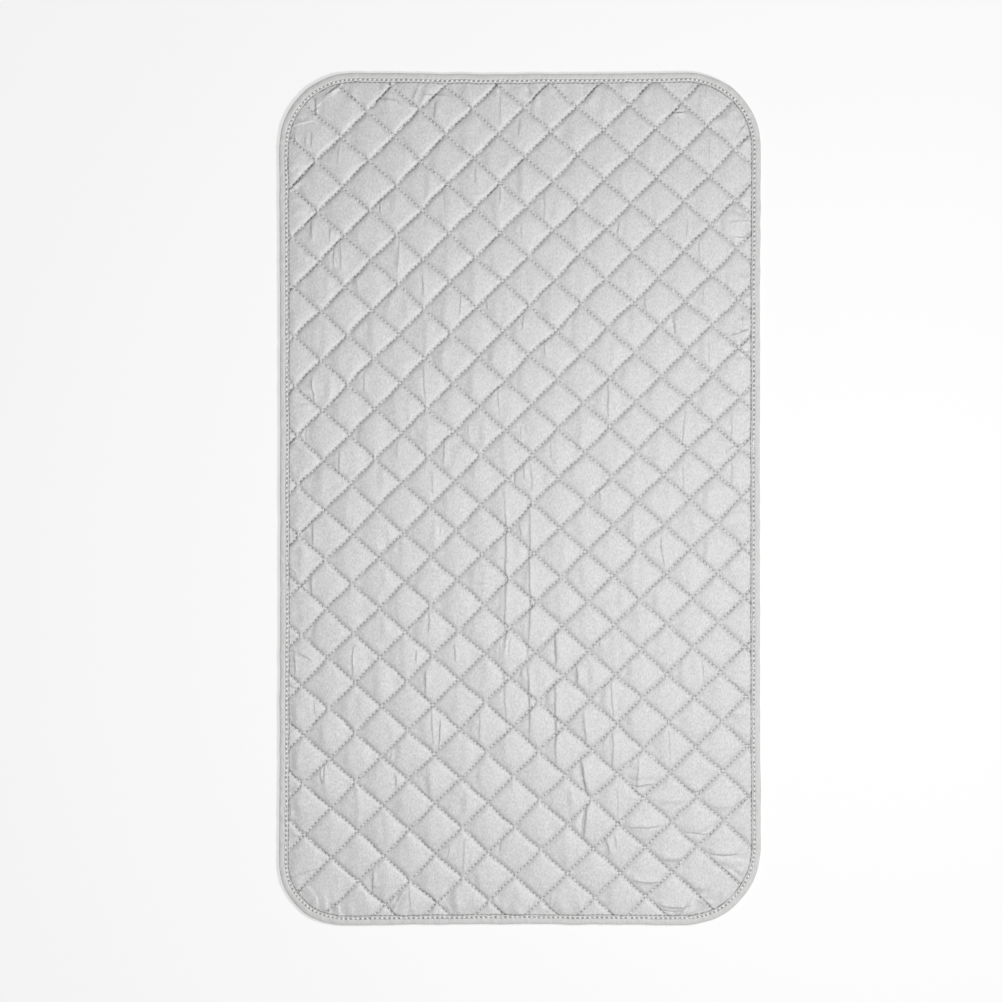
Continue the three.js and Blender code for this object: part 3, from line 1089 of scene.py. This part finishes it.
tape_bm = wrapped_tape(tape_path, TAPE_SECTION)
# Painted shade beside the tape's stitches, darkest at each needle hole.
add_painted_seam_shade(tape_finish, [("across_row", "along_row", [0.0], TAPE_STITCH_PITCH, 0.5)])
bmesh.ops.recalc_face_normals(tape_bm, faces=tape_bm.faces)
binding = add_piece("binding_tape", tape_bm, tape_finish, ["edge_binding"])

# %% Binding stitches
BINDING_TOP = 4.05 * MM
BINDING_UNDER = 0.2 * MM + STITCH_HALF.x
TOP_THICKNESS = 1.9  # this thread is thicker than the quilting thread

binding_bm = bmesh.new()
binding_chance = random.Random(5)
for edge, out, _ in tape_path[::STEPS_TO_A_STITCH]:
    depth = TAPE_STITCH_INSET + binding_chance.uniform(-0.25, 0.25) * MM
    middle = settled(*(edge - out * depth))
    heading = math.atan2(out.x, -out.y) + binding_chance.uniform(-0.1, 0.1)
    length = binding_chance.uniform(0.95, 1.1)
    stitch_grain(binding_bm, middle, heading, BINDING_TOP, length, TOP_THICKNESS)
    stitch_grain(binding_bm, middle, heading, BINDING_UNDER, 0.8)
binding_stitches = add_piece(
    "binding_stitches", binding_bm, thread_finish, ["binding_seam_thread"],
)
bpy.data.meshes.remove(grain_mesh)  # all the stitches are made

# %% [markdown]
# ## Corner magnets
# Such a pad usually has a thin disc in each corner that holds it to a steel machine top. The discs are
# hidden between the cloths, and the CAD discs are already right, so they only get a finish: plated
# metal with a slightly uneven gloss.

# %% Magnet finish
plated = bpy.data.materials.new("plated_disc")
plated.use_nodes = True
plated_nodes = plated.node_tree.nodes
plated_shader = plated_nodes["Principled BSDF"]
plated_shader.inputs["Base Color"].default_value = (0.6, 0.6, 0.58, 1)
plated_shader.inputs["Metallic"].default_value = 1.0
grain = plated_nodes.new("ShaderNodeTexNoise")
grain.inputs["Scale"].default_value = 900
spread = plated_nodes.new("ShaderNodeMapRange")
spread.inputs["To Min"].default_value = 0.22
spread.inputs["To Max"].default_value = 0.42
grain_place = plated_nodes.new("ShaderNodeTexCoord").outputs["Object"]
plated.node_tree.links.new(grain_place, grain.inputs["Vector"])
plated.node_tree.links.new(grain.outputs["Fac"], spread.inputs["Value"])
plated.node_tree.links.new(spread.outputs["Result"], plated_shader.inputs["Roughness"])
for name in magnets:
    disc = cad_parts[name].data
    disc.materials.clear()
    disc.materials.append(plated)
print("magnets:", magnets)
